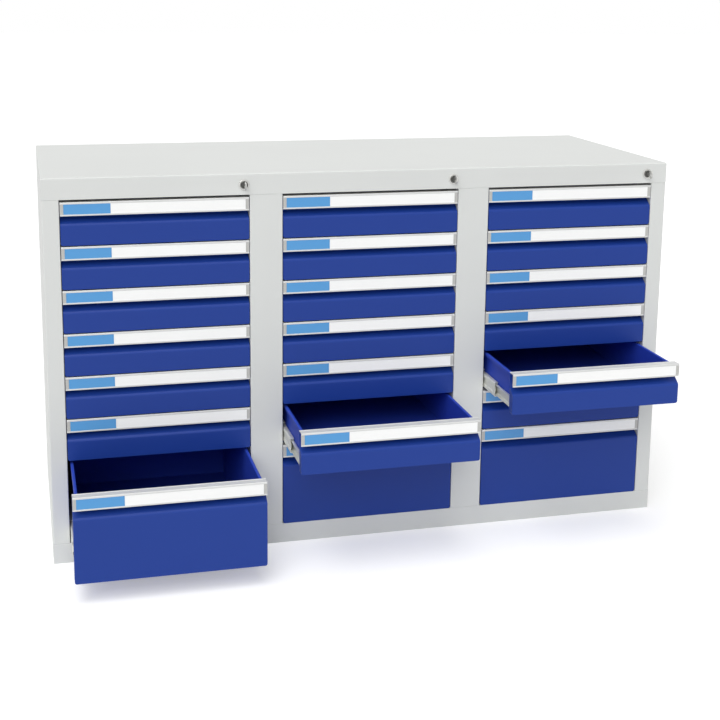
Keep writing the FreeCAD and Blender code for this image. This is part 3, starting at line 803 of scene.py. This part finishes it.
def build_housing():
    left = side_panel_body()
    panels = (
        ("top_panel", top_panel_body(), 0.35 * MM),
        ("base_panel", base_body(), 0.0),
        ("side_panel_left", left, 0.3 * MM),
        ("side_panel_right", mirrored(left), 0.3 * MM),
        ("partition_left", partition_body(-BAY / 2), 0.0),
        ("partition_right", partition_body(BAY / 2), 0.0),
    )
    for node, body, soften in panels:
        name = node + "_skin"
        piece(name, make_mesh(name, body, GREY, soften=soften), "cabinet", [node])


def screw_body():
    """A pan-head screw with a flat dark cross on its head that paints the shade of a cross recess, its seat at the
    origin and its head towards +Y.
    """
    profile = [(0.01, 1.75), (1.2, 1.72), (2.4, 1.45), (3.2, 0.9), (3.5, 0.3), (3.5, 0.0), (2.0, -0.05),
               (2.0, -5.2), (1.4, -5.5)]
    head = turned([(radius * MM, along * MM) for radius, along in profile], 24)
    long, short, low, high = 1.7 * MM, 0.28 * MM, 1.5 * MM, 1.79 * MM
    cross = [block((-a, low, -b), (a, high, b), 0.05 * MM) for a, b in ((long, short), (short, long))]
    return head, cross


def screw_seats():
    """(x, y, z, side) of every screw. side is 0 on the back panel, and else the side of the column's opening
    that the screw holds a cabinet slide member to."""
    seats = []
    edge, inward, face = WIDTH / 2 - 12 * MM, 12 * MM, FOLD_LINE + SHEET
    for row in range(4):
        z = OPENING_LOW + inward + row * (OPENING_TOP - OPENING_LOW - 2 * inward) / 3
        seats += [(side * edge, face, z, 0) for side in (-1, 1)]
    centres = [column * BAY for column in (-1, 0, 1)]
    for x in centres:
        seats += [(x, face, OPENING_LOW / 2, 0), (x, face, HEIGHT - inward, 0)]
    for x in centres:
        for row in ROWS:
            seats += [(x + side * (HALF_OPENING - SHEET), FRONT + 549 * MM, row_base(row) + SLIDE_CENTRE, side)
                      for side in (-1, 1)]
    return seats


def build_screws():
    head, cross = screw_body()
    bodies, recess_shade = [], []
    for x, y, z, side in screw_seats():
        for body in [head] + cross:
            if side:
                verts = [(x - side * v[1], y + side * v[0], z + v[2]) for v in body[0]]
            else:
                verts = [(x + v[0], y + v[1], z + v[2]) for v in body[0]]
            bodies.append((verts, body[1]))
            # The crosses take the dark metal: painted shade where the recess would be hollow.
            recess_shade += [body is not head] * len(body[1])
    verts, faces = joined(*bodies)
    mesh = bpy.data.meshes.new("screws")
    mesh.from_pydata(verts, [], faces)
    mesh.materials.append(ZINC)
    mesh.materials.append(DARK_FACE_AND_RECESS_SHADE)
    for polygon, in_recess_shade in zip(mesh.polygons, recess_shade):
        polygon.material_index = int(in_recess_shade)
    mesh.shade_smooth()
    mesh.set_sharp_from_angle(angle=math.radians(40))
    piece("cross_head_screws", mesh, "cabinet", ["screws"])


# ---------------------------------------------------------------- locks: from the centre of the lock's face

NOSE = -3.1 * MM            # front of the plug
PLUG_END = 24.3 * MM        # its back, which the cam lies on
LOCK_SMOOTH = 30


def in_mm(pairs):
    return [(a * MM, b * MM) for a, b in pairs]


def lock_places():
    return [(column, (COLUMNS.index(column) - 1) * BAY + LOCK_X) for column in COLUMNS]


def barrels_body():
    """All bezels with their sleeves, and the hexagon nuts behind the rail."""
    bezel = hoop(in_mm([(10.9, 24), (10.9, 0), (12.5, 0), (12.5, -1.2), (12.1, -2.1), (11.2, -2.5), (9.6, -2.5),
                        (8.7, -1.9), (8.2, -1.3), (8.02, 0), (8.02, 24)]), 64)
    angles = [math.pi / 3 * k + math.pi / 6 for k in range(6)]
    hexagon = [(14.5 * MM * math.cos(a), 14.5 * MM * math.sin(a)) for a in angles]
    nut = plate(rounded_outline(hexagon, 0.8 * MM, 3), [circle(11 * MM, (0, 0), 48)], SKIN, SKIN + 3.5 * MM, "XZ")
    return joined(*(shifted(body, x, FRONT, LOCK_Z) for _, x in lock_places() for body in (bezel, nut)))


def plug_body():
    """The plug: a face with a warded keyway, and a rim round it."""
    keyway = in_mm([(-1.2, -3.5), (1.2, -3.5), (1.2, 0.6), (0.5, 1.0), (1.2, 1.6), (1.2, 3.5), (-1.2, 3.5)])
    face = plate(circle(7.55 * MM, (0, 0), 56), [keyway], NOSE, NOSE + 0.6 * MM, "XZ")
    inner, outer, bore, rear = 7.57 * MM, 7.95 * MM, 7.0 * MM, NOSE + 0.62 * MM
    rim = hoop([(inner, NOSE + 0.02 * MM), (outer, NOSE + 0.4 * MM), (outer, PLUG_END), (bore, PLUG_END),
                (bore, rear), (inner, rear)], 56)
    return joined(face, rim)


def cam_body():
    """The round cam with its nut, and the pin that runs in the slotted head of the lock bar."""
    hub, radius, thick, ease = 4.0 * MM, 13.5 * MM, 2.5 * MM, 0.4 * MM
    disc = turned([(hub, PLUG_END), (radius - ease, PLUG_END), (radius, PLUG_END + ease),
                   (radius, PLUG_END + thick - ease), (radius - ease, PLUG_END + thick), (hub, PLUG_END + thick)])
    offset = 10 * MM * math.cos(math.radians(45))
    pin = turned([(2.5 * MM, PLUG_END + thick), (2.5 * MM, 36.0 * MM), (2.1 * MM, 36.5 * MM)], 24)
    half = 3.4 * MM
    nut = block((-half, PLUG_END + 2.3 * MM, -half), (half, PLUG_END + 4.6 * MM, half), 0.4 * MM)
    return joined(disc, shifted(pin, offset, 0, offset), nut)


def key_body():
    """A cut key in the plug, with its bow in front of the rail."""
    half, bow_radius, low, high = 1 * MM, 10 * MM, -3.2, 3.3
    neck = NOSE - 7 * MM
    tip = [(16.9, low), (16.9, 1.6), (15.5, 3.2)]
    teeth = [(14.0, 2.2), (12.6, 2.9), (11.2, 1.5), (9.8, 2.6), (8.4, 1.2), (7.0, 2.4), (5.6, 1.7), (4.2, 3.0),
             (0.0, 3.3)]
    blade = plate(in_mm(tip + teeth) + [(neck, high * MM), (neck, low * MM)], [], -half, half, "YZ")
    y = neck - bow_radius + SKIN
    outline = [(y + bow_radius * math.cos(a) * (0.93 + 0.07 * math.cos(2 * a)),
                bow_radius * math.sin(a) * (0.97 + 0.03 * math.cos(4 * a)))
               for a in (2 * math.pi * k / 40 for k in range(40))]
    bow = plate(outline, [circle(3 * MM, (y - 3.2 * MM, 0))], -half, half, "YZ")
    return joined(blade, bow)


def build_locks():
    barrels = make_mesh("lock_barrels", barrels_body(), NICKEL, smooth=LOCK_SMOOTH)
    piece("lock_bezels_and_nuts", barrels, "cabinet", ["lock_barrels"])
    dark_front = NOSE + 2 * MM
    parts = (
        ("plug", make_mesh("lock_plug", plug_body(), [NICKEL, DARK_FACE_AND_RECESS_SHADE],
                           pick=lambda centre: 1 if centre.y < dark_front else 0, smooth=LOCK_SMOOTH)),
        ("cam", make_mesh("lock_cam", cam_body(), ZINC, smooth=LOCK_SMOOTH)),
        ("key", make_mesh("lock_key", key_body(), NICKEL, soften=0.15 * MM, smooth=LOCK_SMOOTH)),
    )
    for column, x in lock_places():
        node = "lock_plug_" + column
        for part, mesh in parts:
            piece("lock_%s_%s" % (column, part), mesh, node, [node], (x, FRONT, LOCK_Z))


def paint_frame_nodes():
    """Better materials for the CAD nodes whose shape is right as it is."""
    finishes = {"back_panel": GREY, "inner_walls": GREY, "cabinet_rails": ZINC, "lock_bar_guides": CAP,
                "lock_bar_left": ZINC, "lock_bar_middle": ZINC, "lock_bar_right": ZINC}
    for node, material in finishes.items():
        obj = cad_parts[node]
        obj.data.materials.clear()
        obj.data.materials.append(material)


# ---------------------------------------------------------------- stage, lamps and camera

FLOOR_SIZE = 60
FLOOR_GREY = 0.80
FLOOR_GLOW = 0.34       # added where the floor is seen, so that it comes out white
WORLD_LIGHT = 0.40      # the world's light on the object. Where it is seen, the world is white

# (name, the way to the sun from the object, strength, angle in degrees): wide soft suns
SUNS = (
    ("overhead", (-0.10, -0.11, 0.47), 1.25, 40),
    ("key", (-0.35, -0.70, 0.62), 1.05, 40),
    ("fill", (-0.09, -0.22, 0.06), 0.38, 60),
)

LENS, SHIFT_Y = 65.57, -0.165
YAW, PITCH, ROLL = (math.radians(a) for a in (14.61, 11.18, 0.66))
CAMERA_PLACE = (-0.787, -3.212, 1.328)


def background_rays(tree):
    """A socket that is 1 for camera, glossy and transmission rays, and 0 for the rays that light the object."""
    path = tree.nodes.new("ShaderNodeLightPath")
    total = path.outputs["Is Camera Ray"]
    for name in ("Is Glossy Ray", "Is Transmission Ray"):
        widest = tree.nodes.new("ShaderNodeMath")
        widest.operation = "MAXIMUM"
        tree.links.new(total, widest.inputs[0])
        tree.links.new(path.outputs[name], widest.inputs[1])
        total = widest.outputs[0]
    return total


def build_floor():
    bpy.ops.mesh.primitive_plane_add(size=FLOOR_SIZE, location=(0, 0, 0))
    floor = bpy.context.object
    floor.name = "floor"
    n = Nodes("floor_white")
    tree = n.tree
    glow = n.new("ShaderNodeEmission", Color=(1, 1, 1, 1))
    seen = tree.nodes.new("ShaderNodeMath")
    seen.operation = "MULTIPLY"
    tree.links.new(background_rays(tree), seen.inputs[0])
    seen.inputs[1].default_value = FLOOR_GLOW
    tree.links.new(seen.outputs[0], glow.inputs["Strength"])
    both = n.new("ShaderNodeAddShader")
    tree.links.new(n.shader.outputs[0], both.inputs[0])
    tree.links.new(glow.outputs[0], both.inputs[1])
    tree.links.new(both.outputs[0], tree.nodes["Material Output"].inputs["Surface"])
    n.finish(Base_Color=(FLOOR_GREY, FLOOR_GREY, FLOOR_GREY, 1), Roughness=0.9, Specular_IOR_Level=0.1)
    floor.data.materials.append(n.material)


def build_world():
    world = bpy.data.worlds.new("studio")
    bpy.context.scene.world = world
    world.use_nodes = True
    tree = world.node_tree
    background = tree.nodes["Background"]
    strength = tree.nodes.new("ShaderNodeMapRange")
    tree.links.new(background_rays(tree), strength.inputs["Value"])
    strength.inputs["To Min"].default_value = WORLD_LIGHT
    strength.inputs["To Max"].default_value = 1.0
    background.inputs["Color"].default_value = (1, 1, 1, 1)
    tree.links.new(strength.outputs["Result"], background.inputs["Strength"])


def build_lamps():
    for name, towards, strength, angle in SUNS:
        data = bpy.data.lights.new(name, "SUN")
        data.energy = strength
        data.angle = math.radians(angle)
        obj = bpy.data.objects.new(name, data)
        bpy.context.scene.collection.objects.link(obj)
        obj.rotation_euler = (-Vector(towards)).to_track_quat("-Z", "Y").to_euler()


def build_camera():
    data = bpy.data.cameras.new("camera")
    camera = bpy.data.objects.new("camera", data)
    bpy.context.scene.collection.objects.link(camera)
    bpy.context.scene.camera = camera
    data.sensor_width = 36.0
    data.lens = LENS
    data.shift_y = SHIFT_Y
    data.clip_end = 200
    ahead = Vector((math.sin(YAW) * math.cos(PITCH), math.cos(YAW) * math.cos(PITCH), -math.sin(PITCH)))
    right = Vector((math.cos(YAW), -math.sin(YAW), 0))
    up = right.cross(ahead)
    right, up = (math.cos(ROLL) * right + math.sin(ROLL) * up, math.cos(ROLL) * up - math.sin(ROLL) * right)
    turn = Matrix((right, up, -ahead)).transposed()
    camera.matrix_world = Matrix.Translation(CAMERA_PLACE) @ turn.to_4x4()


build_drawers()
build_slides()
build_housing()
build_screws()
build_locks()
paint_frame_nodes()
build_floor()
build_world()
build_lamps()
build_camera()
bpy.context.scene.view_settings.view_transform = "Standard"
